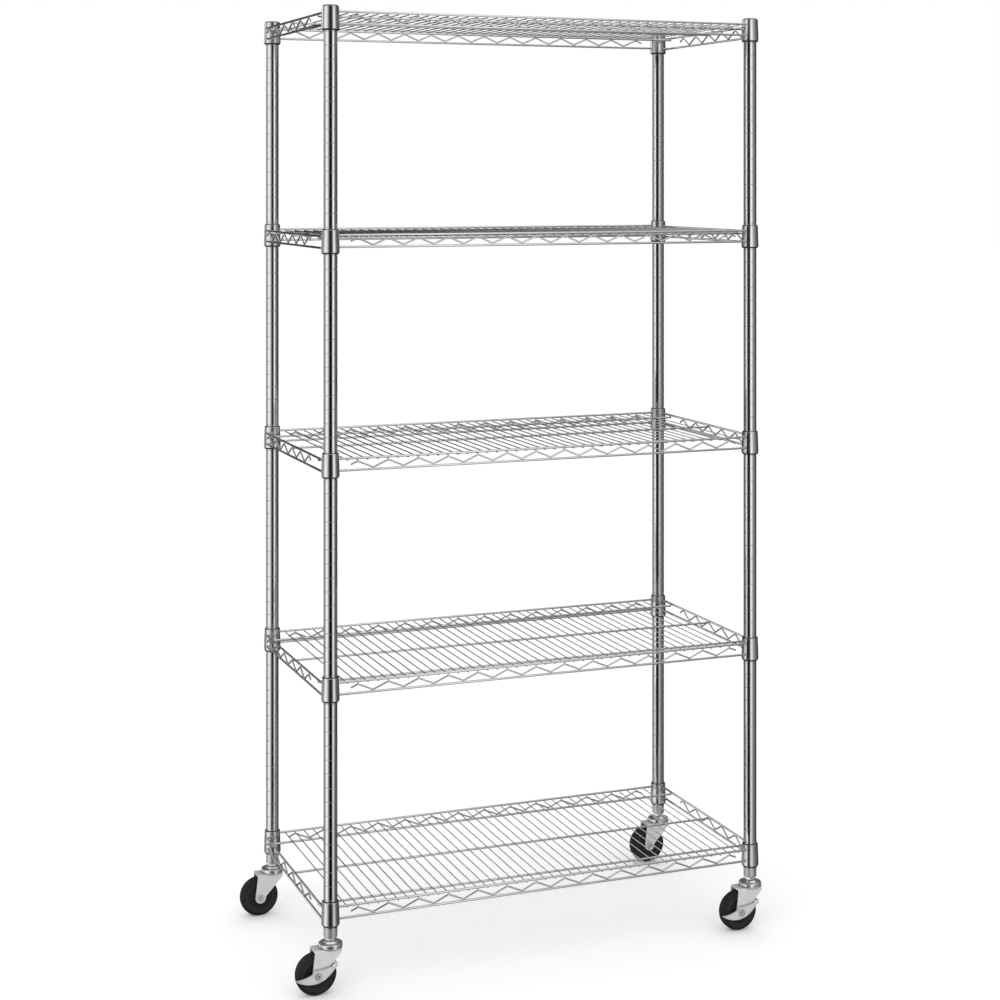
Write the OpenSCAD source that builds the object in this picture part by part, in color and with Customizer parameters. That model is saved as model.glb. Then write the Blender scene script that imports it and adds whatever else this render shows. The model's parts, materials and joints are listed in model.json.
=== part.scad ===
// Wire shelving rack on four swivel casters: four grooved tube posts, five wire shelves.
// The origin is on the floor, at the middle of the space that the rack fills. +X is to the right,
// +Y to the rear. The front is the long side that faces -Y. Every caster trails towards -X, so the
// middle of the posts lies a little to the right of the origin.

/* [Rack] */
// Distance between post centres, left to right
post_span_x = 860; // [660:20:1200]
// Distance between post centres, front to rear
post_span_y = 416; // [366:2:560]
// Number of grooves between one shelf and the next
shelf_step = 16; // [12:1:18]
// Height of the lowest collar's bottom edge above the floor
first_collar_z = 124; // [118:1:140]

/* [Posts] */
// Outside diameter of the post tube
post_d = 25.4; // [25:0.1:25.8]
// Wall thickness of the post tube
post_wall = 1.2; // [0.9:0.1:1.6]
// Distance between neighbouring grooves
groove_pitch = 25.4; // [25:0.1:26]
// Depth of a groove
groove_depth = 0.5; // [0.4:0.05:0.6]

/* [Collars] */
// Height of a shelf's corner collar
collar_h = 42; // [40:1:44]
// Outside diameter of a collar at its top
collar_top_d = 30.8; // [30.6:0.1:31.4]
// Outside diameter of a collar at its bottom
collar_bottom_d = 33.6; // [33.4:0.1:34.4]
// Wall thickness of a collar
collar_wall = 1.3; // [1.1:0.1:1.5]

/* [Wires] */
// Diameter of the edge wires
chord_d = 4.2; // [3.8:0.1:4.6]
// Diameter of the zigzag wires
zigzag_d = 3.2; // [2.8:0.1:3.4]
// Diameter of the deck wires
deck_d = 2.2; // [1.8:0.1:2.6]
// Distance between neighbouring deck wires
deck_pitch = 19.5; // [17:0.5:22]
// Distance between the top and bottom edge wires
truss_h = 21.5; // [20:0.5:23]

/* [Casters] */
// Wheel diameter
wheel_d = 76; // [72:1:76]
// Tread width
wheel_w = 24; // [20:1:26]
// Distance from the swivel axis back to the axle
trail = 28; // [24:1:30]
// Height from the floor to the bottom of the post insert
caster_h = 101.6; // [101:0.1:103]

/* [Hidden] */

// Clearances: a turning or sliding fit, and the hairline left between wires that touch
fit = 0.05;
touch = 0.02;
// How far a cutting shape runs past the shape it cuts
over = 1;
round_fn = 64;
wire_fn = 32;

// Posts
post_r = post_d / 2;
bore_r = post_r - post_wall;
insert_flange = 1.6;
post_bottom = caster_h + insert_flange + touch;
shelf_rise = shelf_step * groove_pitch;
groove_w = 1.4;
groove_slope = 0.4;
sleeve_groove = collar_h / 2;
// Plain tube left at each end of a post, at the least
plain_end = 4;
lowest_rib = first_collar_z + sleeve_groove;
first_groove = lowest_rib - floor((lowest_rib - post_bottom - plain_end) / groove_pitch) * groove_pitch;
post_top = first_collar_z + 4 * shelf_rise + collar_h + 1;
groove_count = floor((post_top - plain_end - first_groove) / groove_pitch) + 1;
cap_h = 3;
cap_plug = 14;

// Corner places, as signs of X and Y
front_left = [-1, -1];
front_right = [1, -1];
rear_left = [-1, 1];
rear_right = [1, 1];
corners = [front_left, front_right, rear_left, rear_right];

// Shelves, counted from the bottom
bottom_level = 0;
lower_level = 1;
middle_level = 2;
upper_level = 3;
top_level = 4;

// Sleeves: split cones that grip one groove and hold a collar up
sleeve_below = 2.3;
sleeve_above = 1.3;
sleeve_slit = 0.6;
sleeve_back_groove = 0.8;
rib_w = 1;

// Wire heights inside a shelf, above the collar's bottom edge
top_chord_z = 32.2;
bottom_chord_z = top_chord_z - truss_h;
deck_z = top_chord_z - (chord_d + deck_d) / 2 - touch;
long_z = deck_z - (chord_d + deck_d) / 2 - touch;
side_top_z = long_z + chord_d + touch;
side_bottom_z = side_top_z - truss_h;

// Wire places in plan
edge_out_x = 13.5;
edge_out_y = 8.2;
edge_x = post_span_x / 2 + edge_out_x;
edge_y = post_span_y / 2 + edge_out_y;
long_inset = 44;
long_y = edge_y - long_inset;
long_overhang = 0.1;
deck_margin = 30;
deck_overhang = 1.2;
deck_count = floor((post_span_x - 2 * deck_margin) / deck_pitch) + 1;
zigzag_pitch = 3 * deck_pitch;
front_peaks = floor((deck_count - 3) / 3) + 1;
side_zigzag_margin = 32;
side_peaks = floor((post_span_y - 2 * side_zigzag_margin) / zigzag_pitch);
side_zigzag_out = 1.8;
zigzag_ease = 0.05;
weld_reach = chord_d / 2 + zigzag_d / 2 + touch;
side_zigzag_drop = sqrt(pow(weld_reach, 2) - pow(side_zigzag_out, 2));
stub_share = 0.4;

// Casters
axle_z = wheel_d / 2;
crown_top = 85.5;
crown_t = 3;
leg_t = 2.5;
fork_in = 14.7;
fork_out = fork_in + leg_t;
leg_end_r = 10.5;
// The legs' straight edges aim just inside the round end, which stands a little proud of them
leg_edge_r = leg_end_r - 0.3;
crown_setback = 4;
fork_rear = -trail - leg_end_r + crown_setback;
fork_front = 18;
crown_rear_skirt = 6;
crown_front_skirt = 5;
seat_r = 20.5;
// Length and depth of the folded sheet before its side outline is cut
fork_blank = 70;
kingpin_r = 5.9;
ball_r = 2.38;
ball_rise = 1.5;
upper_ball_z = crown_top + ball_rise;
upper_ring_r = 14;
upper_ball_count = 14;
lower_ball_z = crown_top - crown_t - ball_rise;
lower_ring_r = 10.5;
lower_ball_count = 11;
race_r = 22;
race_edge = 1;
race_wall = 2.2;
race_gap = 0.5;
pin_head_z = 77.4;
stem_thread_r = 5;
stem_thread_l = 26;
hex_flats = 17;
hex_z = 95.2;
axle_r = 4;
rivet_head_r = 5.7;
rivet_head_h = 2;
bush_r = 6;
core_r = 27;
lever_t = 2;
lever_gap = 0.1;
lever_y = fork_out + lever_gap;
leaf_half = 40.5;
leaf_mid = [-4.5, 7.5];
leaf_tilt = 13.5;

// The rack reaches from the front left lever's tip to the edge of the right casters' races
lever_reach = trail - leaf_mid[0] + leaf_half * cos(leaf_tilt);
posts_mid_x = (lever_reach - race_r) / 2;

// ---- Shared shapes ----

module at_corner(c) {
  translate([posts_mid_x + c[0] * post_span_x / 2, c[1] * post_span_y / 2, 0]) children();
}

// From the middle of a shelf, level with the bottom edges of its collars
module at_shelf(level) {
  translate([posts_mid_x, 0, first_collar_z + level * shelf_rise]) children();
}

// From a corner of a shelf, level with the bottom edge of its collar
module at_collar(c, level) {
  translate([0, 0, first_collar_z + level * shelf_rise]) at_corner(c) children();
}

module cylinder_between(z0, z1, r) {
  translate([0, 0, z0]) cylinder(h = z1 - z0, r = r, $fn = round_fn);
}

// A straight wire along X, between two X values
module wire_x(x0, x1, y, z, d) {
  translate([x0, y, z]) rotate([0, 90, 0]) cylinder(h = x1 - x0, d = d, $fn = wire_fn);
}

// A straight wire along Y, between two Y values
module wire_y(y0, y1, x, z, d) {
  translate([x, y0, z]) rotate([-90, 0, 0]) cylinder(h = y1 - y0, d = d, $fn = wire_fn);
}

// A straight wire in the XZ plane between two points [x, z]
module wire_leg(a, b, d) {
  translate([a[0], 0, a[1]])
    rotate([0, atan2(b[0] - a[0], b[1] - a[1]), 0])
      cylinder(h = norm(b - a), d = d, $fn = wire_fn);
}

// Radius of a collar's tapered bore at a height above its bottom edge
function collar_bore_r(z) =
  (collar_bottom_d + (collar_top_d - collar_bottom_d) * z / collar_h) / 2 - collar_wall;

// Distance from a post's axis at which an edge wire ends, inside the collar's wall
function chord_end(z, out) = sqrt(pow(collar_bore_r(z), 2) - pow(out - chord_d / 2, 2)) + fit;

// Touching point of a line from point p to a circle of radius r at c, on the side that s names
function tangent_point(p, c, r, s) =
  let (d = p - c, a = atan2(d[1], d[0]) + s * acos(r / norm(d)))
    c + r * [cos(a), sin(a)];

// ---- Posts ----

// One groove of the tube's outline, at height z
function groove_points(z) = [
  [post_r, z - groove_w / 2 - groove_slope],
  [post_r - groove_depth, z - groove_w / 2],
  [post_r - groove_depth, z + groove_w / 2],
  [post_r, z + groove_w / 2 + groove_slope]
];

module post(c) {
  grooves = [for (i = [0 : groove_count - 1]) each groove_points(first_groove + i * groove_pitch)];
  outline = concat(
    [[bore_r, post_bottom], [post_r, post_bottom]],
    grooves,
    [[post_r, post_top], [bore_r, post_top]]
  );
  color("silver") at_corner(c) rotate_extrude($fn = round_fn) polygon(outline);
}

// Push-in cap: a plug inside the tube and a low flat-topped head on it
module post_caps() {
  edge = 1.2;
  lead = 1;
  color("dimgray") for (c = corners) at_corner(c) translate([0, 0, post_top + touch])
    rotate_extrude($fn = round_fn) polygon([
      [0, -cap_plug], [bore_r - lead, -cap_plug], [bore_r - fit, -cap_plug + lead], [bore_r - fit, 0],
      [post_r, 0], [post_r, cap_h - edge], [post_r - edge, cap_h], [0, cap_h]
    ]);
}

// Threaded plug in the bottom of each tube that takes the caster's stem
module post_inserts() {
  above_thread = 4;
  plug_top = caster_h + stem_thread_l + above_thread;
  color("silver") for (c = corners) at_corner(c) rotate_extrude($fn = round_fn) polygon([
    [stem_thread_r + fit, caster_h], [post_r - fit, caster_h],
    [post_r - fit, caster_h + insert_flange], [bore_r - fit, caster_h + insert_flange],
    [bore_r - fit, plug_top], [stem_thread_r + fit, plug_top]
  ]);
}

// ---- Sleeves ----

// Outline of a sleeve, from its bottom rim to its top rim, with the rib that fills a groove
module sleeve_outline() {
  inner = post_r + fit;
  rib_r = post_r - groove_depth + fit;
  low_r = collar_bore_r(0) - fit;
  high_r = collar_bore_r(collar_h) - fit;
  rim_slope = 0.25;
  polygon([
    [inner, -sleeve_below], [low_r - rim_slope, -sleeve_below], [low_r, 0],
    [high_r, collar_h], [high_r, collar_h + sleeve_above],
    [inner, collar_h + sleeve_above], [inner, sleeve_groove + rib_w / 2],
    [rib_r, sleeve_groove + rib_w / 2], [rib_r, sleeve_groove - rib_w / 2],
    [inner, sleeve_groove - rib_w / 2]
  ]);
}

// The two halves of the sleeve on each post at one shelf's height, each with a groove down its back
module sleeves(level) {
  groove_floor = 13.7;
  color([0.1, 0.1, 0.1]) for (c = corners) at_collar(c, level) difference() {
    rotate_extrude($fn = round_fn) sleeve_outline();
    translate([-sleeve_slit / 2, -collar_bottom_d, -collar_h])
      cube([sleeve_slit, 2 * collar_bottom_d, 3 * collar_h]);
    for (turn = [0, 180]) rotate(turn) translate([groove_floor, -sleeve_back_groove / 2, -collar_h])
      cube([collar_bottom_d, sleeve_back_groove, 3 * collar_h]);
  }
}

// ---- Shelves ----

// The tapered collar at each corner of a shelf, with its lower edge turned in
module shelf_collars(level) {
  roll = 1.6;
  color("silver") for (c = corners) at_collar(c, level) rotate_extrude($fn = round_fn) polygon([
    [collar_bore_r(0), 0], [collar_bottom_d / 2 - roll / 2, 0], [collar_bottom_d / 2, roll],
    [collar_top_d / 2, collar_h], [collar_bore_r(collar_h), collar_h]
  ]);
}

// A zigzag wire in the XZ plane. Its peaks are at height top and its valleys at height bottom.
module zigzag(peaks, top, bottom) {
  half = (peaks - 1) * zigzag_pitch / 2;
  joint_d = zigzag_d + 2 * zigzag_ease;
  stub = stub_share * [zigzag_pitch / 2, bottom - top];
  for (i = [0 : peaks - 1]) {
    peak = [-half + i * zigzag_pitch, top];
    translate([peak[0], 0, top]) sphere(d = joint_d, $fn = wire_fn);
    if (i < peaks - 1) {
      valley = [peak[0] + zigzag_pitch / 2, bottom];
      translate([valley[0], 0, bottom]) sphere(d = joint_d, $fn = wire_fn);
      wire_leg(peak, valley, zigzag_d);
      wire_leg(valley, peak + [zigzag_pitch, 0], zigzag_d);
    }
  }
  wire_leg([half, top], [half, top] + stub, zigzag_d);
  wire_leg([-half, top], [-half - stub[0], top + stub[1]], zigzag_d);
}

// Top and bottom edge wires on all four sides
module edge_wires() {
  half_x = post_span_x / 2;
  half_y = post_span_y / 2;
  for (s = [-1, 1]) {
    for (z = [top_chord_z, bottom_chord_z]) {
      x_end = half_x - chord_end(z, edge_out_y);
      wire_x(-x_end, x_end, s * edge_y, z, chord_d);
    }
    for (z = [side_top_z, side_bottom_z]) {
      y_end = half_y - chord_end(z, edge_out_x);
      wire_y(-y_end, y_end, s * edge_x, z, chord_d);
    }
  }
}

// Zigzag wires: the front and rear ones hang under the deck wires' ends, the side ones under the edge
module zigzag_wires() {
  front_top = deck_z - (deck_d + zigzag_d) / 2 - touch - zigzag_ease;
  front_bottom = bottom_chord_z + weld_reach + zigzag_ease;
  side_drop = side_zigzag_drop + zigzag_ease;
  for (s = [-1, 1]) {
    translate([0, s * edge_y, 0]) zigzag(front_peaks, front_top, front_bottom);
    translate([s * (edge_x + side_zigzag_out), -s * zigzag_pitch / 2, 0])
      rotate([0, 0, 90]) zigzag(side_peaks, side_top_z - side_drop, side_bottom_z + side_drop);
  }
}

// Wirework under the deck: edge wires, zigzags and the three long wires that carry the deck
module shelf_frame(level) {
  long_end = edge_x + long_overhang;
  color("silver") at_shelf(level) {
    edge_wires();
    zigzag_wires();
    for (y = [-long_y, 0, long_y]) wire_x(-long_end, long_end, y, long_z, chord_d);
  }
}

// The row of thin wires, front to rear, that things stand on
module shelf_deck(level) {
  first_x = -(deck_count - 1) / 2 * deck_pitch;
  end_y = edge_y + deck_overhang;
  color("silver") at_shelf(level)
    for (i = [0 : deck_count - 1]) wire_y(-end_y, end_y, first_x + i * deck_pitch, deck_z, deck_d);
}

// ---- Casters ----

// Stem: thread in the post insert, hexagon, and a kingpin riveted over under the lower race
module caster_stems() {
  head_r = 8;
  head_h = 2;
  hex_top = caster_h - fit;
  color("silver") for (c = corners) at_corner(c) {
    cylinder_between(hex_top, caster_h + stem_thread_l, stem_thread_r);
    translate([0, 0, hex_z]) cylinder(h = hex_top - hex_z, d = hex_flats / cos(30), $fn = 6);
    cylinder_between(pin_head_z, hex_z, kingpin_r);
    cylinder_between(pin_head_z - head_h, pin_head_z, head_r);
  }
}

// A ring groove for a row of balls
module ball_groove(z, ring_r) {
  translate([0, 0, z])
    rotate_extrude($fn = round_fn)
      translate([ring_r, 0]) circle(r = ball_r + fit, $fn = 48);
}

// Domed upper race, fixed to the stem, with a skirt round the upper balls
module caster_upper_races() {
  skirt_z = crown_top + race_gap;
  plate_z = upper_ball_z + 1.2;
  dome_r = race_r - 2.5;
  dome_z = plate_z + 3.6;
  bore = kingpin_r + fit;
  top_z = hex_z - fit;
  color("silver") for (c = corners) at_corner(c) difference() {
    rotate_extrude($fn = round_fn) polygon([
      [bore, plate_z], [race_r - race_wall, plate_z], [race_r - race_wall + 0.6, skirt_z],
      [race_r - 0.6, skirt_z], [race_r, skirt_z + race_edge], [race_r, plate_z + race_edge],
      [dome_r, dome_z], [hex_flats / 2, top_z], [bore, top_z]
    ]);
    ball_groove(upper_ball_z, upper_ring_r);
  }
}

// Dished lower race, held up under the crown by the rivet head of the stem
module caster_lower_races() {
  race_bottom = pin_head_z + touch;
  race_top = lower_ball_z - 0.8;
  rim_r = 14.5;
  foot_r = 12;
  bore = kingpin_r + fit;
  color("silver") for (c = corners) at_corner(c) difference() {
    rotate_extrude($fn = round_fn) polygon([
      [bore, race_bottom], [foot_r, race_bottom], [rim_r, race_top - race_edge], [rim_r, race_top],
      [bore, race_top]
    ]);
    ball_groove(lower_ball_z, lower_ring_r);
  }
}

module ball_ring(z, ring_r, count) {
  for (i = [0 : count - 1])
    rotate([0, 0, i * 360 / count]) translate([ring_r, 0, z]) sphere(r = ball_r, $fn = 32);
}

module swivel_balls(c) {
  color("gainsboro") at_corner(c) {
    ball_ring(upper_ball_z, upper_ring_r, upper_ball_count);
    ball_ring(lower_ball_z, lower_ring_r, lower_ball_count);
  }
}

// Bent-sheet section of the fork across its width, solid inside: width 2w, top z, corner radius r
module fork_section(w, z, r) {
  rotate([90, 0, 90]) translate([0, 0, -fork_blank]) linear_extrude(2 * fork_blank) union() {
    translate([-w, z - fork_blank]) square([2 * w, fork_blank - r]);
    translate([-w + r, z - r - over]) square([2 * (w - r), r + over]);
    for (s = [-1, 1]) translate([s * (w - r), z - r]) circle(r = r, $fn = 48);
  }
}

// Side outline of the fork: the crown above, and legs that taper down to a round end at the axle
module fork_side() {
  axle = [-trail, axle_z];
  rear = [fork_rear, crown_top - crown_rear_skirt];
  front = [fork_front, crown_top - crown_front_skirt];
  rotate([90, 0, 0]) translate([0, 0, -fork_blank]) linear_extrude(2 * fork_blank) union() {
    polygon([
      [fork_rear, crown_top + over], rear, tangent_point(rear, axle, leg_edge_r, 1), axle,
      tangent_point(front, axle, leg_edge_r, -1), front, [fork_front, crown_top + over]
    ]);
    translate(axle) circle(r = leg_end_r, $fn = round_fn);
  }
}

module fork(c) {
  bend_out = 4;
  bend_in = 1.5;
  color("lightgray") at_corner(c) difference() {
    union() {
      intersection() {
        difference() {
          fork_section(fork_out, crown_top, bend_out);
          fork_section(fork_in, crown_top - crown_t, bend_in);
        }
        fork_side();
      }
      cylinder_between(crown_top - crown_t, crown_top, seat_r);
    }
    cylinder_between(crown_top - crown_t - over, crown_top + over, kingpin_r + fit);
    ball_groove(upper_ball_z, upper_ring_r);
    ball_groove(lower_ball_z, lower_ring_r);
    translate([-trail, 0, axle_z]) rotate([90, 0, 0])
      cylinder_between(-fork_blank, fork_blank, axle_r + fit);
  }
}

// A round part on the axle's line, drawn about Z from z0 to z1 and turned to lie along Y
module on_axle(c) {
  at_corner(c) translate([-trail, 0, axle_z]) rotate([90, 0, 0]) children();
}

// Riveted axle. Near is the reach of its front head from the middle, which is longer over a lever.
module axle(c, near) {
  far = fork_out + touch;
  color("gray") on_axle(c) {
    cylinder_between(-far, near, axle_r);
    translate([0, 0, near]) rivet_head();
    translate([0, 0, -far]) mirror([0, 0, 1]) rivet_head();
  }
}

// Head of a riveted axle, narrower at its face than where it meets the plate
module rivet_head() {
  cylinder(h = rivet_head_h, r1 = rivet_head_r, r2 = rivet_head_r - 1, $fn = round_fn);
}

// Steel spacer between the fork legs that the wheel turns on
module bush(c) {
  half = fork_in - fit;
  color("gray") on_axle(c) rotate_extrude($fn = round_fn)
    translate([axle_r + fit, -half]) square([bush_r - axle_r - fit, 2 * half]);
}

// Wheel core: a hub on the bush, a web and a rim under the tyre
module wheel_core(c) {
  hub_half = fork_in - 1;
  hub_r = 10;
  hub_foot_r = 11;
  hub_web = 5;
  rim_web = 4;
  rim_half = wheel_w / 2 - 1.5;
  rim_r = core_r - 3;
  rim_foot_r = core_r - 4;
  half_outline = [
    [hub_r, hub_half], [hub_foot_r, hub_web], [rim_foot_r, rim_web], [rim_r, rim_half], [core_r, rim_half]
  ];
  other_half = [for (i = [len(half_outline) - 1 : -1 : 0]) [half_outline[i][0], -half_outline[i][1]]];
  bore = bush_r + fit;
  color([0.13, 0.13, 0.13]) on_axle(c) rotate_extrude($fn = round_fn)
    polygon(concat([[bore, hub_half]], half_outline, other_half, [[bore, -hub_half]]));
}

// Tyre: a thick ring with a rounded tread
module tyre(c) {
  shoulder = 8.5;
  inner = core_r + touch;
  half = wheel_w / 2;
  color([0.08, 0.08, 0.08]) on_axle(c) rotate_extrude($fn = 96) intersection() {
    union() {
      translate([inner, -half]) square([axle_z - shoulder - inner, wheel_w]);
      translate([inner, -half + shoulder]) square([axle_z - inner, wheel_w - 2 * shoulder]);
      for (s = [-1, 1])
        translate([axle_z - shoulder, s * (half - shoulder)]) circle(r = shoulder, $fn = round_fn);
    }
    translate([inner, -half]) square([axle_z, wheel_w]);
  }
}

// Brake lever: a leaf-shaped plate on the axle, outside the front leg, with a pad over the tread
module brake(c) {
  low_sag = 19;
  high_sag = 5;
  low_r = (pow(leaf_half, 2) + pow(low_sag, 2)) / (2 * low_sag);
  high_r = (pow(leaf_half, 2) + pow(high_sag, 2)) / (2 * high_sag);
  pad_tilt = 27;
  pad_r = axle_z + 1.6;
  pad_w = 8;
  pad_reach = 13;
  color("gainsboro") on_axle(c) translate([0, 0, lever_y]) {
    linear_extrude(lever_t) difference() {
      union() {
        translate(leaf_mid) rotate(leaf_tilt) intersection() {
          translate([0, low_r - low_sag]) circle(r = low_r, $fn = 128);
          translate([0, high_sag - high_r]) circle(r = high_r, $fn = 256);
        }
        rotate(pad_tilt) translate([pad_r - pad_w, -pad_w / 2]) square([pad_w + lever_t, pad_w]);
      }
      circle(r = axle_r + fit, $fn = round_fn);
    }
    rotate([0, 0, pad_tilt]) translate([pad_r, -pad_w / 2, -pad_reach])
      cube([lever_t, pad_w, pad_reach + lever_t / 2]);
  }
}

plain_near = fork_out + touch;
lever_near = lever_y + lever_t + touch;

post(front_left);  // post_front_left
post(front_right);  // post_front_right
post(rear_left);  // post_rear_left
post(rear_right);  // post_rear_right
post_caps();
post_inserts();
sleeves(bottom_level);  // bottom_sleeves
sleeves(lower_level);  // lower_sleeves
sleeves(middle_level);  // middle_sleeves
sleeves(upper_level);  // upper_sleeves
sleeves(top_level);  // top_sleeves
shelf_collars(bottom_level);  // bottom_shelf_collars
shelf_frame(bottom_level);  // bottom_shelf_frame
shelf_deck(bottom_level);  // bottom_shelf_deck
shelf_collars(lower_level);  // lower_shelf_collars
shelf_frame(lower_level);  // lower_shelf_frame
shelf_deck(lower_level);  // lower_shelf_deck
shelf_collars(middle_level);  // middle_shelf_collars
shelf_frame(middle_level);  // middle_shelf_frame
shelf_deck(middle_level);  // middle_shelf_deck
shelf_collars(upper_level);  // upper_shelf_collars
shelf_frame(upper_level);  // upper_shelf_frame
shelf_deck(upper_level);  // upper_shelf_deck
shelf_collars(top_level);  // top_shelf_collars
shelf_frame(top_level);  // top_shelf_frame
shelf_deck(top_level);  // top_shelf_deck
caster_stems();
caster_upper_races();
caster_lower_races();
fork(front_left);  // front_left_fork
swivel_balls(front_left);  // front_left_balls
axle(front_left, lever_near);  // front_left_axle
bush(front_left);  // front_left_bush
wheel_core(front_left);  // front_left_wheel_core
tyre(front_left);  // front_left_tyre
brake(front_left);  // front_left_brake
fork(front_right);  // front_right_fork
swivel_balls(front_right);  // front_right_balls
axle(front_right, lever_near);  // front_right_axle
bush(front_right);  // front_right_bush
wheel_core(front_right);  // front_right_wheel_core
tyre(front_right);  // front_right_tyre
brake(front_right);  // front_right_brake
fork(rear_left);  // rear_left_fork
swivel_balls(rear_left);  // rear_left_balls
axle(rear_left, plain_near);  // rear_left_axle
bush(rear_left);  // rear_left_bush
wheel_core(rear_left);  // rear_left_wheel_core
tyre(rear_left);  // rear_left_tyre
fork(rear_right);  // rear_right_fork
swivel_balls(rear_right);  // rear_right_balls
axle(rear_right, plain_near);  // rear_right_axle
bush(rear_right);  // rear_right_bush
wheel_core(rear_right);  // rear_right_wheel_core
tyre(rear_right);  // rear_right_tyre
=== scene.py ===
"""Looks of a wire shelving rack on casters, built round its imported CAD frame."""

import json
import math

import bmesh
import bpy
from mathutils import Matrix, Vector


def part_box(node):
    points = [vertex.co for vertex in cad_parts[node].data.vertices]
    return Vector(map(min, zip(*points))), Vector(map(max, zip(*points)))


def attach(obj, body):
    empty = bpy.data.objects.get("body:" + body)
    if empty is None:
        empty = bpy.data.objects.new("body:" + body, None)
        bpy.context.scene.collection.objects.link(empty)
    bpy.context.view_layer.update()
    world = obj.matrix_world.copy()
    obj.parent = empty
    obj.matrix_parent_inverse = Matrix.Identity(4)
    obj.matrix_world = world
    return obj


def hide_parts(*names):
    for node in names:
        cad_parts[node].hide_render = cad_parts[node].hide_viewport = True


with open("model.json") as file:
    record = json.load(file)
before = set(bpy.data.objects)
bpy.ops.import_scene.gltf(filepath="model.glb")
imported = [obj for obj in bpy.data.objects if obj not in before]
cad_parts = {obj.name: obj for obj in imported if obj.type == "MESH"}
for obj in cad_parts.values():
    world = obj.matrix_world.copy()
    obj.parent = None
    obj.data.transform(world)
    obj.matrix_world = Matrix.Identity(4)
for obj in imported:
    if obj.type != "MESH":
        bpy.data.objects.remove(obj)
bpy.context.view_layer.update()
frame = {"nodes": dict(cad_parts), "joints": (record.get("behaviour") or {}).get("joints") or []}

MM = 0.001
LEVELS = ["bottom", "lower", "middle", "upper", "top"]
CORNERS = ["front_left", "front_right", "rear_left", "rear_right"]
BRAKED = ["front_left", "front_right"]
SHELF_BODY = {"bottom": "rack", "lower": "lower_shelf", "middle": "middle_shelf", "upper": "upper_shelf",
              "top": "rack"}

# Wire sizes
CHORD_R = 2.1 * MM
ZIGZAG_R = 1.6 * MM
DECK_R = 1.1 * MM
DECK_PITCH = 19.5 * MM
ZIGZAG_PITCH = 3 * DECK_PITCH
ZIGZAG_BEND = 4.5 * MM
TRUSS_H = 21.5 * MM
EDGE_OUT_X = 13.5 * MM
EDGE_OUT_Y = 8.2 * MM
LONG_INSET = 44 * MM
SIDE_ZIGZAG_OUT = 1.8 * MM
ZIGZAG_EASE = 0.1 * MM

# Posts and collars
GROOVE_PITCH = 25.4 * MM
GROOVE_DEPTH = 0.5 * MM
POST_WALL = 1.2 * MM
COLLAR_WALL = 1.3 * MM
COLLAR_TAPER = 1.4 * MM
# How much lower than in the CAD the cap's head, the race's skirt and the fork's sheet are drawn
CAP_DROP = 1.8 * MM
RACE_DROP = 1.8 * MM
FORK_DROP = 2 * MM

# Casters
FORK_IN = 14.7 * MM
SHEET = 2.5 * MM
FORK_OUT = FORK_IN + SHEET
FORK_END_R = 10.5 * MM
RACE_BORE = 5.95 * MM
LEAF_TILT = Matrix.Rotation(math.radians(13.5), 2)
LEAF_MID = Vector((-4.5 * MM, 7.5 * MM))
ON_AXLE = Matrix.Rotation(math.radians(90), 3, "X")

# Gap left between neighbouring pieces, and sides of a turned shape
TOUCH = 0.02 * MM
FIT = 0.05 * MM
ROUND = 64
FINE = 96

# Camera and the dark cards near the right posts
CAMERA_YAW = 21.2
CAMERA_LENS = 70.98
CAMERA_SHIFT = -0.323
CARD_DISTANCE = 0.25


# ---------- mesh helpers ----------

class Soup:
    """Vertices and faces of one piece, gathered from several closed parts."""

    def __init__(self):
        self.verts = []
        self.faces = []

    def add(self, verts, faces):
        base = len(self.verts)
        self.verts.extend(tuple(v) for v in verts)
        self.faces.extend(tuple(base + i for i in f) for f in faces)

    def make(self, name, material, sharp=35.0):
        mesh = bpy.data.meshes.new(name)
        mesh.from_pydata(self.verts, [], self.faces)
        tidy = bmesh.new()
        tidy.from_mesh(mesh)
        bmesh.ops.recalc_face_normals(tidy, faces=tidy.faces)
        tidy.to_mesh(mesh)
        tidy.free()
        mesh.shade_smooth()
        mesh.set_sharp_from_angle(angle=math.radians(sharp))
        mesh.materials.append(material)
        piece = bpy.data.objects.new(name, mesh)
        bpy.context.scene.collection.objects.link(piece)
        smooth = piece.modifiers.new("flat_sides", "WEIGHTED_NORMAL")
        smooth.keep_sharp = True
        smooth.weight = 80
        return piece


def place(piece, body, slot, *nodes):
    """The piece rides on a body and stands for CAD nodes, which are hidden. slot is not used."""
    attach(piece, body)
    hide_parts(*nodes)
    return piece


def ring_faces(rings, sides, wrap_rings):
    """Quads between neighbouring rings of points. The last ring joins the first if wrap_rings is true."""
    faces = []
    for i in range(rings if wrap_rings else rings - 1):
        a = i * sides
        b = ((i + 1) % rings) * sides
        for j in range(sides):
            k = (j + 1) % sides
            faces.append((a + j, a + k, b + k, b + j))
    return faces


def lathe(profile, sides=ROUND, closed=True):
    """Turns (radius, height) points about Z. An open profile gets a flat cap at each end."""
    verts = []
    for r, z in profile:
        for j in range(sides):
            turn = 2 * math.pi * j / sides
            verts.append((r * math.cos(turn), r * math.sin(turn), z))
    faces = ring_faces(len(profile), sides, closed)
    if not closed:
        last = (len(profile) - 1) * sides
        faces.append(tuple(range(sides)))
        faces.append(tuple(range(last, last + sides)))
    return verts, faces


def moved(part, where, turn=None):
    """A part carried to a place, after an optional rotation matrix."""
    verts, faces = part
    turn = turn or Matrix.Identity(3)
    return [turn @ Vector(v) + Vector(where) for v in verts], faces


def arc(cx, cy, r, start, end, steps):
    """Points on a circle from one angle to another, in degrees."""
    angles = [math.radians(start + (end - start) * i / steps) for i in range(steps + 1)]
    return [(cx + r * math.cos(a), cy + r * math.sin(a)) for a in angles]


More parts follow.
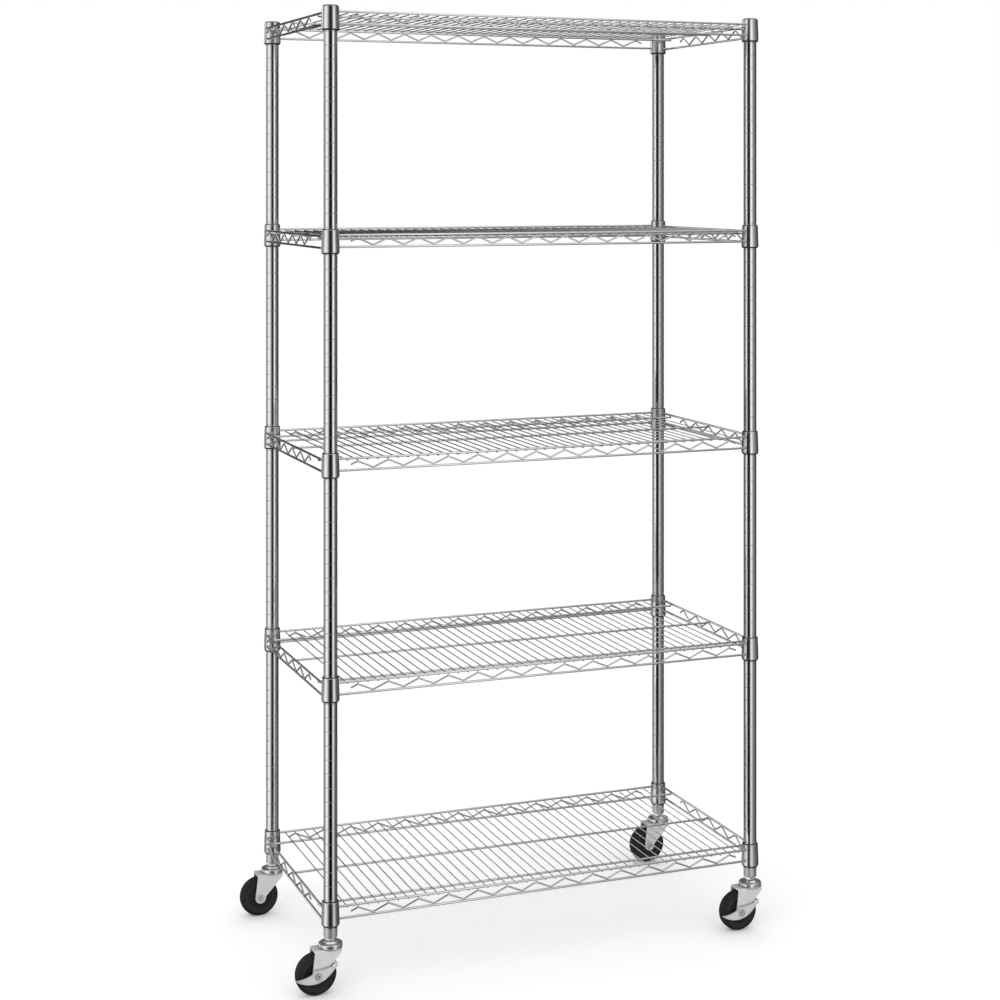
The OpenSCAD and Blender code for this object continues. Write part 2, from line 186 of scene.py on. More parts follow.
def tube(points, r, side, sides=12):
    """A wire along a flat path. side is the unit normal of the path's plane. Its ends are rounded off."""
    path = [Vector(p) for p in points]
    side = Vector(side)
    first = (path[1] - path[0]).normalized()
    last = (path[-1] - path[-2]).normalized()
    centres = [path[0], path[0] + first * 0.12 * r, path[0] + first * 0.45 * r]
    radii = [0.72 * r, 0.93 * r, r]
    centres += path[1:-1]
    radii += [r] * (len(path) - 2)
    centres += [path[-1] - last * 0.45 * r, path[-1] - last * 0.12 * r, path[-1]]
    radii += [r, 0.93 * r, 0.72 * r]
    verts = []
    count = len(centres)
    for i, (c, radius) in enumerate(zip(centres, radii)):
        ahead = centres[min(i + 1, count - 1)] - centres[max(i - 1, 0)]
        up = ahead.normalized().cross(side)
        for j in range(sides):
            turn = 2 * math.pi * j / sides
            verts.append(c + radius * (math.cos(turn) * side + math.sin(turn) * up))
    faces = ring_faces(count, sides, False)
    faces.append(tuple(range(sides)))
    faces.append(tuple(range((count - 1) * sides, count * sides)))
    return verts, faces


# ---------- material helpers ----------

def ramp(tree, source, stops):
    """Maps a value through (place, grey) or (place, colour) stops."""
    node = tree.nodes.new("ShaderNodeValToRGB")
    elements = node.color_ramp.elements
    while len(elements) < len(stops):
        elements.new(0.5)
    for element, (where, value) in zip(elements, stops):
        element.position = where
        rgb = value if isinstance(value, tuple) else (value, value, value)
        element.color = (*rgb, 1)
    tree.links.new(source, node.inputs["Fac"])
    return node.outputs["Color"]


def mix(tree, factor, a, b, blend="MIX"):
    """Blends two colours, each a socket or a tuple, by a socket or a number."""
    node = tree.nodes.new("ShaderNodeMix")
    node.data_type = "RGBA"
    node.blend_type = blend
    for source, socket in ((factor, node.inputs[0]), (a, node.inputs[6]), (b, node.inputs[7])):
        if isinstance(source, bpy.types.NodeSocket):
            tree.links.new(source, socket)
        elif isinstance(source, tuple):
            socket.default_value = (*source, 1)
        else:
            socket.default_value = source
    return node.outputs[2]


def maths(tree, operation, a, b):
    """One step of arithmetic on sockets or numbers."""
    node = tree.nodes.new("ShaderNodeMath")
    node.operation = operation
    for socket, value in zip(node.inputs, (a, b)):
        if isinstance(value, (int, float)):
            socket.default_value = value
        else:
            tree.links.new(value, socket)
    return node.outputs[0]


class Shader:
    """A node material with a principled surface and short calls for the nodes that feed it."""

    def __init__(self, name):
        self.material = bpy.data.materials.new(name)
        self.material.use_nodes = True
        self.tree = self.material.node_tree
        self.surface = self.tree.nodes["Principled BSDF"]
        self.coords = self.tree.nodes.new("ShaderNodeTexCoord").outputs["Object"]

    def link(self, source, target):
        self.tree.links.new(source, target)

    def set(self, **values):
        for name, value in values.items():
            self.surface.inputs[name.replace("_", " ")].default_value = value

    def noise(self, scale, stretch=(1, 1, 1), detail=4.0, rough=0.55):
        mapping = self.tree.nodes.new("ShaderNodeMapping")
        mapping.inputs["Scale"].default_value = stretch
        self.link(self.coords, mapping.inputs["Vector"])
        node = self.tree.nodes.new("ShaderNodeTexNoise")
        node.inputs["Scale"].default_value = scale
        node.inputs["Detail"].default_value = detail
        node.inputs["Roughness"].default_value = rough
        self.link(mapping.outputs["Vector"], node.inputs["Vector"])
        return node.outputs["Fac"]

    def cells(self, scale):
        node = self.tree.nodes.new("ShaderNodeTexVoronoi")
        node.inputs["Scale"].default_value = scale
        self.link(self.coords, node.inputs["Vector"])
        return node.outputs["Distance"]

    def ramp(self, source, stops):
        return ramp(self.tree, source, stops)

    def mix(self, factor, a, b, blend="MIX"):
        return mix(self.tree, factor, a, b, blend)

    def roughness(self, source, stops):
        self.link(self.ramp(source, stops), self.surface.inputs["Roughness"])

    def colour(self, source):
        self.link(source, self.surface.inputs["Base Color"])

    def edges(self, low, high):
        """White on convex edges, black elsewhere."""
        geometry = self.tree.nodes.new("ShaderNodeNewGeometry")
        return self.ramp(geometry.outputs["Pointiness"], [(low, 0.0), (high, 1.0)])

    def painted_crevice_shade(self, reach, deepest):
        """Painted shade: a mask that is white in the open and falls to a grey where other surfaces lie
        close.
        """
        node = self.tree.nodes.new("ShaderNodeAmbientOcclusion")
        node.samples = 4
        node.inputs["Distance"].default_value = reach
        return self.ramp(node.outputs["AO"], [(0.35, deepest), (0.9, 1.0)])

    def bump(self, height, strength, distance):
        node = self.tree.nodes.new("ShaderNodeBump")
        node.inputs["Strength"].default_value = strength
        node.inputs["Distance"].default_value = distance
        self.link(height, node.inputs["Height"])
        previous = self.surface.inputs["Normal"].links
        if previous:
            self.link(previous[0].from_socket, node.inputs["Normal"])
        self.link(node.outputs["Normal"], self.surface.inputs["Normal"])


def chrome(name, bright, stretch, rough):
    """Bright plated steel with drawing marks along the part, faint smudges and duller edges."""
    shader = Shader(name)
    smudge = shader.noise(9, detail=6)
    marks = shader.noise(260, stretch, detail=3)
    clean = shader.ramp(smudge, [(0.3, tuple(c * 0.93 for c in bright)), (0.7, bright)])
    worn = shader.mix(shader.edges(0.53, 0.6), clean, tuple(c * 0.8 for c in bright))
    shader.colour(worn)
    shader.roughness(smudge, [(0.35, rough * 1.8), (0.65, rough)])
    shader.set(Metallic=1.0)
    shader.bump(marks, 0.06, 0.02 * MM)
    return shader.material


def zinc(name, tone, rough, metallic):
    """Zinc-plated pressed steel: slightly mottled, satin, brighter where edges are rubbed, and darkened
    with painted shade where other surfaces lie close.
    """
    shader = Shader(name)
    mottle = shader.noise(140, detail=8, rough=0.65)
    grain = shader.noise(900, detail=2)
    base = shader.ramp(mottle, [(0.3, tuple(c * 0.86 for c in tone)), (0.7, tone)])
    rubbed = shader.mix(shader.edges(0.52, 0.58), base, tuple(min(1, c * 1.15) for c in tone))
    # Painted shade: the colour is darkened where other surfaces lie close, in place of the shadow in
    # crevices.
    crevice_shaded = shader.mix(1.0, rubbed, shader.painted_crevice_shade(5 * MM, 0.12), "MULTIPLY")
    shader.colour(crevice_shaded)
    shader.roughness(mottle, [(0.3, rough + 0.1), (0.7, rough)])
    shader.set(Metallic=metallic)
    shader.bump(mottle, 0.25, 0.06 * MM)
    shader.bump(grain, 0.15, 0.02 * MM)
    return shader.material


def plastic(name, tone, rough):
    """Moulded plastic with a fine spark-eroded grain and a lighter bloom in patches."""
    shader = Shader(name)
    bloom = shader.noise(30, detail=5)
    grain = shader.cells(2600)
    lighter = tuple(c * 1.5 + 0.004 for c in tone)
    base = shader.ramp(bloom, [(0.35, tone), (0.75, lighter)])
    worn = shader.mix(shader.edges(0.53, 0.6), base, tuple(c * 2.2 + 0.01 for c in tone))
    shader.colour(worn)
    shader.roughness(bloom, [(0.3, rough), (0.7, rough + 0.12)])
    shader.set(Specular_IOR_Level=0.2)
    shader.bump(grain, 0.2, 0.03 * MM)
    return shader.material


def rubber(name, tone):
    """Black tyre rubber: matt, dusty in patches, finely pitted."""
    shader = Shader(name)
    dust = shader.noise(55, detail=7, rough=0.7)
    pits = shader.noise(1500, detail=3)
    base = shader.ramp(dust, [(0.35, tone), (0.8, tuple(c * 1.9 + 0.004 for c in tone))])
    scuffed = shader.mix(shader.edges(0.51, 0.56), base, tuple(c * 2.0 + 0.01 for c in tone))
    shader.colour(scuffed)
    shader.roughness(dust, [(0.3, 0.5), (0.7, 0.72)])
    shader.set(Specular_IOR_Level=0.18)
    shader.bump(pits, 0.3, 0.05 * MM)
    shader.bump(dust, 0.2, 0.2 * MM)
    return shader.material


SATIN_CHROME = chrome("satin_chrome", (0.84, 0.84, 0.83), (1, 1, 1), 0.32)
# Darker chrome for the post grooves: painted shade in the recesses.
GROOVE_SHADE_CHROME = chrome("groove_painted_shade", (0.66, 0.66, 0.65), (1, 1, 1), 0.10)
POST_CHROME = chrome("post_chrome", (0.80, 0.80, 0.80), (1, 1, 0.02), 0.07)
SHELF_CHROME = chrome("shelf_chrome", (0.78, 0.78, 0.78), (1, 1, 1), 0.14)
WIRE_CHROME = chrome("wire_chrome", (0.76, 0.76, 0.76), (1, 1, 1), 0.12)
ZINC = zinc("bright_zinc", (0.80, 0.80, 0.79), 0.30, 0.38)
RACE_ZINC = zinc("polished_zinc", (0.86, 0.86, 0.85), 0.16, 0.9)
STEEL = zinc("turned_steel", (0.60, 0.61, 0.62), 0.22, 0.9)
SLEEVE_BLACK = plastic("sleeve_black", (0.008, 0.008, 0.008), 0.4)
CAP_GREY = plastic("cap_grey", (0.18, 0.18, 0.185), 0.5)
HUB_BLACK = plastic("hub_black", (0.012, 0.012, 0.011), 0.5)
TYRE = rubber("tyre_rubber", (0.012, 0.0115, 0.010))


# ---------- places read from the frame ----------

def post_place(corner):
    """Centre of a post in plan, its radius, and its lowest and highest points."""
    low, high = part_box("post_" + corner)
    return (low.x + high.x) / 2, (low.y + high.y) / 2, (high.x - low.x) / 2, low.z, high.z


POSTS = {c: post_place(c) for c in CORNERS}
MID_X = (POSTS["front_left"][0] + POSTS["front_right"][0]) / 2
HALF_X = (POSTS["front_right"][0] - POSTS["front_left"][0]) / 2
HALF_Y = (POSTS["rear_left"][1] - POSTS["front_left"][1]) / 2
POST_R = POSTS["front_left"][2]
COLLARS = {level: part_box(level + "_shelf_collars") for level in LEVELS}
COLLAR_H = COLLARS["bottom"][1].z - COLLARS["bottom"][0].z
COLLAR_LOW_R = COLLARS["bottom"][1].x - (MID_X + HALF_X)
COLLAR_TOP_R = COLLAR_LOW_R - COLLAR_TAPER
EDGE_X = HALF_X + EDGE_OUT_X
EDGE_Y = HALF_Y + EDGE_OUT_Y
DECK_LOW, DECK_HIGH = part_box("bottom_shelf_deck")
DECK_COUNT = round((DECK_HIGH.x - DECK_LOW.x - 2 * DECK_R) / DECK_PITCH) + 1
SIDE_PEAKS = math.floor((2 * HALF_Y - 64 * MM) / ZIGZAG_PITCH)
JOINTS = {j["name"]: j for j in frame["joints"]}
CAMERA_PLACE = Vector((MID_X - 1.4385, -3.660, 1.481))


def corner_place(corner, z=0.0):
    return (POSTS[corner][0], POSTS[corner][1], z)


# ---------- posts ----------

def post_profile(low, high):
    """Outline of the grooved tube: outside from the bottom up, then back down the bore."""
    bore = POST_R - POST_WALL
    first = COLLARS["bottom"][0].z + COLLAR_H / 2
    first -= math.floor((first - low - 4 * MM) / GROOVE_PITCH) * GROOVE_PITCH
    rim = 0.35 * MM
    points = [(bore + rim, low), (POST_R - rim, low), (POST_R, low + rim)]
    bare = COLLARS["bottom"][0].z
    z = first
    while z < high - 4 * MM:
        for offset, depth in ((-1.2, 0), (-0.95, 0), (-0.83, 0.12), (-0.70, 0.88), (-0.6, 1), (0.6, 1),
                              (0.70, 0.88), (0.83, 0.12), (0.95, 0), (1.2, 0)):
            points.append((POST_R - depth * GROOVE_DEPTH, z + offset * MM))
        if z < bare:
            points.append((POST_R, bare))
        z += GROOVE_PITCH
    points += [(POST_R, high - rim), (POST_R - rim, high), (bore + rim, high), (bore, high - rim)]
    points.append((bore, low + rim))
    return points


def groove_shade_and_satin_end(piece, axis):
    """Darker chrome in the grooves as painted shade, and a satin finish on the bare end under the bottom
    shelf.
    """
    piece.data.materials.append(GROOVE_SHADE_CHROME)
    piece.data.materials.append(SATIN_CHROME)
    bare = COLLARS["bottom"][0].z
    for face in piece.data.polygons:
        depth = POST_R - (face.center.xy - axis).length
        # Faces in the grooves take the darker chrome: painted shade.
        if 0.1 * MM < depth < POST_WALL - 0.1 * MM and abs(face.normal.z) < 0.95:
            face.material_index = 1
        elif face.center.z < bare:
            face.material_index = 2


def build_posts():
    for corner in CORNERS:
        x, y, _, low, high = POSTS[corner]
        soup = Soup()
        soup.add(*moved(lathe(post_profile(low, high), FINE), (x, y, 0)))
        tube_piece = soup.make(f"post_tube_{corner}", POST_CHROME, 50)
        groove_shade_and_satin_end(tube_piece, Vector((x, y)))
        place(tube_piece, "rack", "post_chrome", "post_" + corner)


def build_caps():
    """Low grey caps with a rounded rim, pushed into the posts."""
    low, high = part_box("post_caps")
    head_z = POSTS["front_left"][4]
    r = POST_R
    top = high.z - CAP_DROP
    plug_r = POST_R - POST_WALL - FIT
    rim = 0.5 * MM
    middle = 0.4 * MM
    outline = [(middle, low.z), (plug_r - 1 * MM, low.z), (plug_r, low.z + 1 * MM)]
    outline += [(plug_r, head_z + TOUCH), (r, head_z + TOUCH)]
    outline += arc(r - rim, top - rim, rim, 0, 90, 6) + [(middle, top)]
    soup = Soup()
    for corner in CORNERS:
        soup.add(*moved(lathe(outline, ROUND, closed=False), corner_place(corner)))
    place(soup.make("post_cap_heads", CAP_GREY), "rack", "cap_plastic", "post_caps")


def build_inserts():
    """Flanged plugs in the posts' lower ends."""
    low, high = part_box("post_inserts")
    flange = POSTS["front_left"][3] - TOUCH
    bore = 5.05 * MM
    r = POST_R - FIT
    plug_r = POST_R - POST_WALL - FIT
    ease = 0.3 * MM
    outline = [(bore, low.z + ease), (bore + ease, low.z), (r - ease, low.z), (r, low.z + ease)]
    outline += [(r, flange), (plug_r, flange), (plug_r, high.z - ease), (plug_r - ease, high.z)]
    outline += [(bore, high.z)]
    soup = Soup()
    for corner in CORNERS:
        soup.add(*moved(lathe(outline), corner_place(corner)))
    place(soup.make("post_insert_plugs", SATIN_CHROME), "rack", "zinc_plate", "post_inserts")


# ---------- sleeves and collars ----------

def collar_bore(share):
    """Radius of a collar's bore at a share of its height."""
    return COLLAR_LOW_R + (COLLAR_TOP_R - COLLAR_LOW_R) * share - COLLAR_WALL


def half_lathe(profile, start, end, steps):
    """Part of a turned shape between two angles in degrees, closed at both cut faces."""
    verts = []
    count = len(profile)
    for i in range(steps + 1):
        turn = math.radians(start + (end - start) * i / steps)
        verts += [(r * math.cos(turn), r * math.sin(turn), z) for r, z in profile]
    faces = ring_faces(steps + 1, count, False)
    faces.append(tuple(range(count)))
    faces.append(tuple(range(steps * count, (steps + 1) * count)))
    return verts, faces


def build_sleeves(level):
    """Two clip-on halves a post, which show as thin black rims above and below each collar."""
    low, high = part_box(level + "_sleeves")
    bottom, top = COLLARS[level][0].z, COLLARS[level][1].z
    inner = POST_R + FIT
    low_r = collar_bore(0) - FIT
    top_r = collar_bore(1) - FIT
    ease = 0.3 * MM
    outline = [(inner, low.z), (low_r - ease, low.z), (low_r, low.z + ease), (low_r, bottom),
               (top_r, top), (top_r, high.z - ease), (top_r - ease, high.z), (inner, high.z)]
    slit = math.degrees(0.3 * MM / POST_R)
    soup = Soup()
    for corner in CORNERS:
        for side in (0, 180):
            half = half_lathe(outline, side - 90 + slit, side + 90 - slit, 32)
            soup.add(*moved(half, corner_place(corner)))
    place(soup.make(f"{level}_sleeve_halves", SLEEVE_BLACK), "rack", "sleeve_plastic", level + "_sleeves")


def build_collars(level):
    """Tapered corner collars with the lower edge rolled in."""
    bottom, top = COLLARS[level][0].z, COLLARS[level][1].z
    roll = 1.1 * MM
    ease = 0.35 * MM
    outline = [(collar_bore(0), bottom + 0.5 * MM), (collar_bore(0) + 0.2 * MM, bottom)]
    outline += arc(COLLAR_LOW_R - roll, bottom + roll, roll, -80, 0, 6)
    outline += [(COLLAR_TOP_R, top - ease), (COLLAR_TOP_R - ease, top)]
    outline += [(collar_bore(1) + ease / 2, top), (collar_bore(1), top - ease)]
    soup = Soup()
    for corner in CORNERS:
        soup.add(*moved(lathe(outline, FINE), corner_place(corner)))
    nodes = [level + "_shelf_collars"]
    place(soup.make(f"{level}_collar_cones", SHELF_CHROME), SHELF_BODY[level], "shelf_chrome", *nodes)


# ---------- wirework ----------

def wire_heights(level):
    """Centre heights of each kind of wire, worked out from the deck wires' height."""
    low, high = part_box(level + "_shelf_deck")
    deck = (low.z + high.z) / 2
    top = deck + CHORD_R + DECK_R + TOUCH
    long = deck - CHORD_R - DECK_R - TOUCH
    side_top = long + 2 * CHORD_R + TOUCH
    return {"deck": deck, "top": top, "bottom": top - TRUSS_H, "long": long, "side_top": side_top,
            "side_bottom": side_top - TRUSS_H}


def chord_reach(height, out):
    """Distance from a post's axis at which an edge wire meets the inside of the collar's wall."""
    inside = collar_bore(height / COLLAR_H)
    return math.sqrt(inside ** 2 - (out - CHORD_R) ** 2)


def edge_wires(level):
    z = wire_heights(level)
    base = COLLARS[level][0].z
    soup = Soup()
    for sign in (-1, 1):
        for height in (z["top"], z["bottom"]):
            end = HALF_X - chord_reach(height - base, EDGE_OUT_Y)
            y = sign * EDGE_Y
            soup.add(*tube([(MID_X - end, y, height), (MID_X + end, y, height)], CHORD_R, (0, 1, 0), 20))
        for height in (z["side_top"], z["side_bottom"]):
            end = HALF_Y - chord_reach(height - base, EDGE_OUT_X)
            x = MID_X + sign * EDGE_X
            soup.add(*tube([(x, -end, height), (x, end, height)], CHORD_R, (1, 0, 0), 20))
    return soup


def zigzag_path(peaks, top, bottom):
    """Points (along, height) of a zigzag with rounded bends and a short stub at each end."""
    pitch = ZIGZAG_PITCH / 2
    rise = top - bottom
    reach = math.hypot(pitch, rise - 2 * ZIGZAG_BEND)
    slope = math.degrees(math.atan2(rise - 2 * ZIGZAG_BEND, pitch) + math.asin(2 * ZIGZAG_BEND / reach))
    bends = 2 * peaks - 1
    start = -(bends - 1) / 2 * pitch
    points = []
    for i in range(bends):
        along = start + i * pitch
        if i % 2 == 0:
            points += arc(along, top - ZIGZAG_BEND, ZIGZAG_BEND, 90 + slope, 90 - slope, 6)
        else:
            points += arc(along, bottom + ZIGZAG_BEND, ZIGZAG_BEND, 270 - slope, 270 + slope, 6)
    stub = 0.4 * math.hypot(pitch, rise)
    drop = (stub * math.cos(math.radians(slope)), stub * math.sin(math.radians(slope)))
    points.insert(0, (points[0][0] - drop[0], points[0][1] - drop[1]))
    points.append((points[-1][0] + drop[0], points[-1][1] - drop[1]))
    return points


def zigzag_wires(level):
    z = wire_heights(level)
    weld = CHORD_R + ZIGZAG_R + TOUCH
    front_top = z["deck"] - DECK_R - ZIGZAG_R - TOUCH - ZIGZAG_EASE
    front_bottom = z["bottom"] + weld + ZIGZAG_EASE
    side_drop = math.sqrt(weld ** 2 - SIDE_ZIGZAG_OUT ** 2) + ZIGZAG_EASE
    front = zigzag_path(DECK_COUNT // 3, front_top, front_bottom)
    side = zigzag_path(SIDE_PEAKS, z["side_top"] - side_drop, z["side_bottom"] + side_drop)
    soup = Soup()
    for sign in (-1, 1):
        y = sign * EDGE_Y
        soup.add(*tube([(MID_X + along, y, height) for along, height in front], ZIGZAG_R, (0, 1, 0), 14))
        x = MID_X + sign * (EDGE_X + SIDE_ZIGZAG_OUT)
        shift = -sign * ZIGZAG_PITCH / 2
        soup.add(*tube([(x, along + shift, height) for along, height in side], ZIGZAG_R, (1, 0, 0), 14))
    return soup


def long_wires(level):
    z = wire_heights(level)["long"]
    inset = EDGE_Y - LONG_INSET
    end = EDGE_X + 0.1 * MM
    soup = Soup()
    for y in (-inset, 0, inset):
        soup.add(*tube([(MID_X - end, y, z), (MID_X + end, y, z)], CHORD_R, (0, 1, 0), 20))
    return soup


def deck_wires(level):
    low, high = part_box(level + "_shelf_deck")
    z = (low.z + high.z) / 2
    first = MID_X - (DECK_COUNT - 1) / 2 * DECK_PITCH
    soup = Soup()
    for i in range(DECK_COUNT):
        x = first + i * DECK_PITCH
        soup.add(*tube([(x, low.y, z), (x, high.y, z)], DECK_R, (1, 0, 0), 12))
    return soup


def build_shelf(level):
    body = SHELF_BODY[level]
    node = level + "_shelf_frame"
    for name, wires in (("edge", edge_wires), ("zigzag", zigzag_wires), ("long", long_wires)):
        place(wires(level).make(f"{level}_{name}_wires", WIRE_CHROME, 60), body, "shelf_chrome", node)
    deck = deck_wires(level).make(f"{level}_deck_wires", WIRE_CHROME, 60)
    place(deck, body, "shelf_chrome", level + "_shelf_deck")
    build_collars(level)
    build_sleeves(level)


# ---------- casters ----------

def axle_place(corner):
    return Vector(JOINTS[corner + "_wheel_spin"]["pos_m"])


def build_stems():
    """Hexagon and kingpin of each caster's stem, with a plain thread up into the post."""
    low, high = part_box("caster_stems")
    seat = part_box("post_inserts")[0].z - FIT
    hex_low = 95.2 * MM
    flats = 17 * MM
    corner_r = flats / math.sqrt(3)
    ease = 0.7 * MM
    rod = [(4.6 * MM, high.z), (5 * MM, high.z - 0.4 * MM), (5 * MM, seat), (5.9 * MM, seat - 1 * MM)]
    rod += [(5.9 * MM, low.z + 2 * MM), (8 * MM, low.z + 2 * MM)]
    rod += [(8 * MM, low.z + 0.8 * MM), (6.5 * MM, low.z)]
    hexagon = [(flats / 2 - 0.3 * MM, hex_low), (corner_r, hex_low + ease), (corner_r, seat - ease),
               (flats / 2 - 0.3 * MM, seat)]
    soup = Soup()
    for corner in CORNERS:
        soup.add(*moved(lathe(rod, closed=False), corner_place(corner)))
        soup.add(*moved(lathe(hexagon, 6, closed=False), corner_place(corner)))
    place(soup.make("caster_stem_hexes", RACE_ZINC), "rack", "zinc_plate", "caster_stems")


def build_races():
    """Polished upper race: a rolled skirt, a rounded shoulder and a dished top up to the hexagon."""
    low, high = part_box("caster_upper_races")
    r = 22 * MM
    shoulder = 2.2 * MM
    ease = 0.3 * MM
    skirt = low.z - RACE_DROP
    roof = low.z + 2.2 * MM
    inside = r - 1.25 * MM
    outline = [(RACE_BORE, roof), (r - 2.2 * MM, roof), (inside, roof - 1 * MM), (inside, skirt + ease)]
    outline += [(r - 3 * ease, skirt), (r - ease, skirt), (r, skirt + ease), (r, skirt + 1 * MM)]
    outline += [(r - 0.35 * MM, skirt + 1.4 * MM), (r, skirt + 1.8 * MM)]
    outline += arc(r - shoulder, high.z - 6 * MM, shoulder, 0, 84, 8)
    dish = [(17.5, 4.1), (16.2, 4.4), (14.8, 4.3), (12.5, 2.6), (10.8, 0.9), (9.6, 0)]
    outline += [(radius * MM, high.z - depth * MM) for radius, depth in dish] + [(RACE_BORE, high.z)]
    soup = Soup()
    for corner in CORNERS:
        soup.add(*moved(lathe(outline, FINE), corner_place(corner)))
    place(soup.make("caster_race_rings", RACE_ZINC, 40), "rack", "zinc_plate", "caster_upper_races")


def build_lower_races():
    low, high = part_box("caster_lower_races")
    outline = [(RACE_BORE, low.z), (12 * MM, low.z)] + arc(12.5 * MM, high.z - 1 * MM, 2 * MM, -40, 0, 4)
    outline += [(14.5 * MM, high.z), (RACE_BORE, high.z)]
    soup = Soup()
    for corner in CORNERS:
        soup.add(*moved(lathe(outline), corner_place(corner)))
    place(soup.make("caster_lower_dishes", RACE_ZINC), "rack", "zinc_plate", "caster_lower_races")


def leg_edges(z, trail, axle_z, crown):
    """Rear and front edge of a fork leg at height z, measured from the swivel axis."""
    end_r = FORK_END_R
    rear_top = -trail - 5.5 * MM
    front_top = 18 * MM
    share = max(0.0, min(1.0, (crown - 5 * MM - z) / (crown - 5 * MM - axle_z)))
    rear = rear_top + (-trail - end_r - rear_top) * share
    front = front_top + (-trail + end_r * 0.8 - front_top) * share
    if z < axle_z:
        half = math.sqrt(max(0.0, end_r ** 2 - (axle_z - z) ** 2))
        rear = -trail - half
        front = -trail + half
    elif z < axle_z + end_r:
        bulge = math.sqrt(end_r ** 2 - (z - axle_z) ** 2)
        front = max(front, -trail + bulge)
    return rear, front


def fork_sheet(trail, axle_z, crown):
    """Grid of the fork's folded sheet, outer and inner skins joined round the rim."""
    bend = 4 * MM
    straight = FORK_OUT - bend
    bottom = axle_z - FORK_END_R
    rows = []
    legs = 30
    for i in range(legs):
        share = 1 - math.cos(math.pi / 2 * i / legs)
        z = bottom + (crown - bend - bottom) * share
        rows.append((-FORK_OUT, z, 0.0))
    for i in range(7):
        a = math.radians(90 * i / 6)
        rows.append((-straight - bend * math.cos(a), crown - bend + bend * math.sin(a), math.degrees(a)))
    rows += [(-straight * (1 - i / 4), crown, 90.0) for i in range(1, 4)]
    mirrored = [(-y, z, 180 - a) for y, z, a in reversed(rows)]
    rows = rows + [(0.0, crown, 90.0)] + mirrored
    across = 14
    outer, inner = [], []
    for y, z, a in rows:
        height = min(z, crown - 5 * MM)
        rear, front = leg_edges(height, trail, axle_z, crown)
        if abs(y) < FORK_OUT - 0.6 * MM:
            rear = min(rear, -trail - 6.5 * MM)
        normal = Vector((0, -math.cos(math.radians(a)), math.sin(math.radians(a))))
        for k in range(across + 1):
            x = rear + (front - rear) * k / across
            outer.append(Vector((x, y, z)))
            inner.append(Vector((x, y, z)) - normal * SHEET)
    width = across + 1
    count = len(rows)
    verts = outer + inner
    base = len(outer)
    faces = []
    for i in range(count - 1):
        for k in range(across):
            a = i * width + k
            faces.append((a, a + 1, a + width + 1, a + width))
            faces.append((base + a, base + a + width, base + a + width + 1, base + a + 1))
    rim = list(range(width))
    rim += [i * width + across for i in range(1, count)]
    rim += [(count - 1) * width + k for k in range(across - 1, -1, -1)]
    rim += [i * width for i in range(count - 2, 0, -1)]
    for a, b in zip(rim, rim[1:] + rim[:1]):
        faces.append((a, base + a, base + b, b))
    return verts, faces


def build_fork(corner):
    """Folded sheet fork with a round pressed seat under the race."""
    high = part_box(corner + "_fork")[1]
    x, y = POSTS[corner][0], POSTS[corner][1]
    axle = axle_place(corner)
    soup = Soup()
    soup.add(*moved(fork_sheet(x - axle.x, axle.z, high.z - FORK_DROP), (x, y, 0)))
    seat_r = 20.5 * MM
    ease = 0.7 * MM
    disc = [(6 * MM, high.z - 3 * MM)] + arc(seat_r - ease, high.z - 3 * MM + ease, ease, -90, 0, 4)
    disc += arc(seat_r - ease, high.z - ease, ease, 0, 90, 4) + [(6 * MM, high.z)]
    soup.add(*moved(lathe(disc, FINE), (x, y, 0)))
    piece = soup.make(f"{corner}_fork_sheet", ZINC, 40)
    bevel = piece.modifiers.new("edges", "BEVEL")
    bevel.width = 0.45 * MM
    bevel.segments = 2
    bevel.limit_method = "ANGLE"
    bevel.angle_limit = math.radians(50)
    place(piece, corner + "_swivel", "zinc_plate", corner + "_fork")


def rivet_head(z, out):
    """Closed head with a dished centre. out is +1 or -1, the way it faces along the axle."""
    r = 5.7 * MM
    h = 2 * MM
    points = [(3.9 * MM, -1 * MM), (r, 0), (r, 0.5 * h)]
    points += arc(r - 0.9 * MM, h - 0.9 * MM, 0.9 * MM, 20, 90, 4)
    points += [(2.9 * MM, h), (2.3 * MM, h - 0.7 * MM), (0.5 * MM, h - 1.0 * MM)]
    return [(radius, z + out * height) for radius, height in points]


def build_axle(corner):
    low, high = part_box(corner + "_axle")
    axle = axle_place(corner)
    near = axle.y - low.y - 2 * MM
    far = high.y - axle.y - 2 * MM
    soup = Soup()
    front = rivet_head(near, 1)
    back = rivet_head(-far, -1)
    outline = list(reversed(back)) + front
    soup.add(*moved(lathe(outline, 48, closed=False), axle, ON_AXLE))
    place(soup.make(f"{corner}_rivet", RACE_ZINC, 40), corner + "_swivel", "steel", corner + "_axle")


